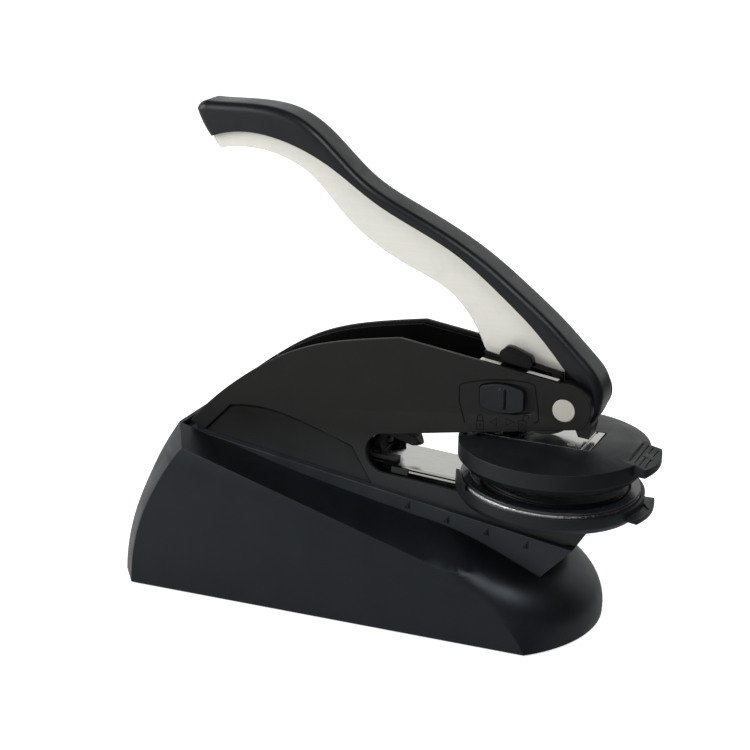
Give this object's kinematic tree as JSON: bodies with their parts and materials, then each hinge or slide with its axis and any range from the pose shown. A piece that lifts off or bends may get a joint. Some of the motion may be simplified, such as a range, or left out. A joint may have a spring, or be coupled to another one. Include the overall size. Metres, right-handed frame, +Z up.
{
  "type": "desk seal embosser",
  "caption": "Desk seal embosser: a long curved lever on a slim press body closes round die holders on paper; weighted domed base, sliding lock and slide-out die clip.",
  "frame": {"origin": "middle of the base's underside, on the table", "axes": "+X towards the dies, +Y to the left side, +Z up"},
  "size_m": [0.15, 0.052, 0.1353],
  "materials": {
    "base_plastic": "fine blue-black moulded texture",
    "rail_plastic": "satin blue-black",
    "body_plastic": "fine black moulded texture",
    "button_plastic": "satin black",
    "grip_plastic": "satin dark grey",
    "frame_steel": "plain sheet steel",
    "lever_steel": "satin nickel-chrome",
    "strip_steel": "bright rolled strip",
    "pin_steel": "bright turned steel",
    "screw_steel": "dark zinc",
    "spring_steel": "bright drawn wire",
    "cam_steel": "blackened steel",
    "ballast_iron": "black paint",
    "pad_rubber": "matte",
    "die_plastic": "satin black",
    "ring_metal": "bright, slightly uneven",
    "retainer_plastic": "gloss black",
    "die_face": "engraved dark polymer"
  },
  "bodies": {
    "base": {"desk_base": "base_plastic", "ballast_plate": "ballast_iron", "nonslip_pad": "pad_rubber", "base_screws": "screw_steel", "cradle_rail": "rail_plastic", "cradle_screws": "screw_steel", "right_body_shell": "body_plastic", "left_body_shell": "body_plastic", "right_frame_plate": "frame_steel", "left_frame_plate": "frame_steel", "frame_spacers": "body_plastic", "jaw_saddle": "body_plastic", "body_screws": "screw_steel", "pivot_pin": "pin_steel", "pivot_washers": "pin_steel", "return_spring": "spring_steel"},
    "handle": {"lever_channel": "lever_steel", "handle_grip": "grip_plastic", "cam_block": "cam_steel", "lever_rivets": "pin_steel"},
    "lock": {"lock_button": "button_plastic", "lock_bar": "body_plastic"},
    "die_clip": {"lower_strip": "strip_steel", "clip_runner": "strip_steel", "clip_spacer": "body_plastic", "clip_hinge_block": "body_plastic", "clip_pin": "pin_steel", "clip_rivets": "pin_steel", "paper_guide": "body_plastic", "lower_die_tray": "die_plastic", "die_metal_ring": "ring_metal", "die_retainer": "retainer_plastic", "lower_die": "die_face"},
    "upper_arm": {"upper_strip": "strip_steel", "upper_die_holder": "die_plastic", "upper_die_ring": "die_plastic", "upper_die": "die_face", "strip_rivets": "pin_steel"}
  },
  "joints": [
    {"name": "handle_pivot", "type": "hinge", "parent": "base", "child": "handle", "pos_m": [0.0591, 0, 0.0634], "axis": [0, -1, 0], "range_deg": [0, 28], "stiffness_Nm_per_rad": 0.12, "springref_deg": -57.3},
    {"name": "lock_slide", "type": "slide", "parent": "base", "child": "lock", "axis": [1, 0, 0], "range_m": [0, 0.0026]},
    {"name": "clip_slide", "type": "slide", "parent": "base", "child": "die_clip", "axis": [0.9973, 0, -0.0732], "range_m": [0, 0.045]},
    {"name": "arm_hinge", "type": "hinge", "parent": "die_clip", "child": "upper_arm", "pos_m": [-0.0003, 0, 0.0444], "axis": [0, 1, 0], "range_deg": [0, 3.5]}
  ],
  "couplings": [
    {"joint": "arm_hinge", "follows": "handle_pivot", "ratio": 0.125}
  ]
}
